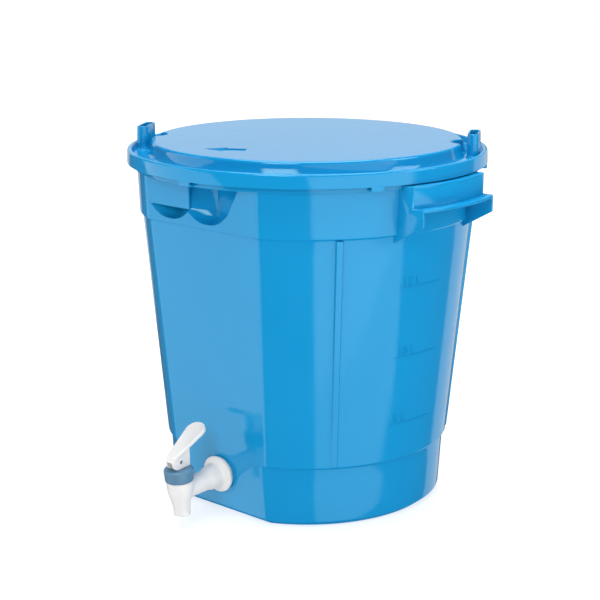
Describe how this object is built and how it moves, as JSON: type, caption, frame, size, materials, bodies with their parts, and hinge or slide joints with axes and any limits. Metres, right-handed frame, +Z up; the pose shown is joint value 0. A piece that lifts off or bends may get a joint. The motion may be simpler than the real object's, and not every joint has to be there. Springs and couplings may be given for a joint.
{
  "type": "plastic fermenting bucket",
  "caption": "Tapered plastic fermenting bucket with a twist-on lid, side handles and a lever tap low on its flat front.",
  "frame": {"origin": "middle of the base, on the surface that the bucket stands on", "axes": "+Z up through the middle of the lid, -Y out through the tap, handles on +X and -X"},
  "size_m": [0.39, 0.3761, 0.3666],
  "materials": {
    "blue_plastic": "glossy moulded polypropylene, sky blue",
    "white_plastic": "satin moulded polypropylene, off-white",
    "slate_plastic": "satin moulded polypropylene, slate blue",
    "seal_rubber": "soft translucent silicone, matte",
    "dark_rubber": "black rubber, matte",
    "pin_steel": "stainless steel, ground"
  },
  "bodies": {
    "bucket": {"bucket": "blue_plastic", "collar_pocket": "blue_plastic", "right_handle": "blue_plastic", "left_handle": "blue_plastic", "tap_body": "white_plastic", "tap_bonnet": "slate_plastic", "outer_washer": "seal_rubber", "inner_washer": "dark_rubber", "back_nut": "white_plastic", "seat_cup": "seal_rubber"},
    "seal": {"lid_seal": "seal_rubber"},
    "lid": {"lid": "blue_plastic"},
    "stem": {"valve_stem": "white_plastic"},
    "lever": {"tap_lever": "white_plastic", "lever_pin": "pin_steel"}
  },
  "joints": [
    {"name": "lid_lift", "type": "slide", "parent": "bucket", "child": "seal", "axis": [0, 0, 1], "range_m": [0, 0.25]},
    {"name": "lid_twist", "type": "hinge", "parent": "seal", "child": "lid", "pos_m": [0, 0, 0.3435], "axis": [0, 0, 1], "range_deg": [-11.5, 0]},
    {"name": "stem_slide", "type": "slide", "parent": "bucket", "child": "stem", "axis": [0, -0.0832, 0.9965], "range_m": [0, 0.004], "deforming": ["seat_cup"]},
    {"name": "lever_pivot", "type": "hinge", "parent": "stem", "child": "lever", "pos_m": [0, -0.18427, 0.06752], "axis": [1, 0, 0], "range_deg": [0, 60], "stiffness_Nm_per_rad": 0.15}
  ],
  "couplings": [
    {"joint": "stem_slide", "follows": "lever_pivot", "m_per_rad": 0.0038}
  ]
}
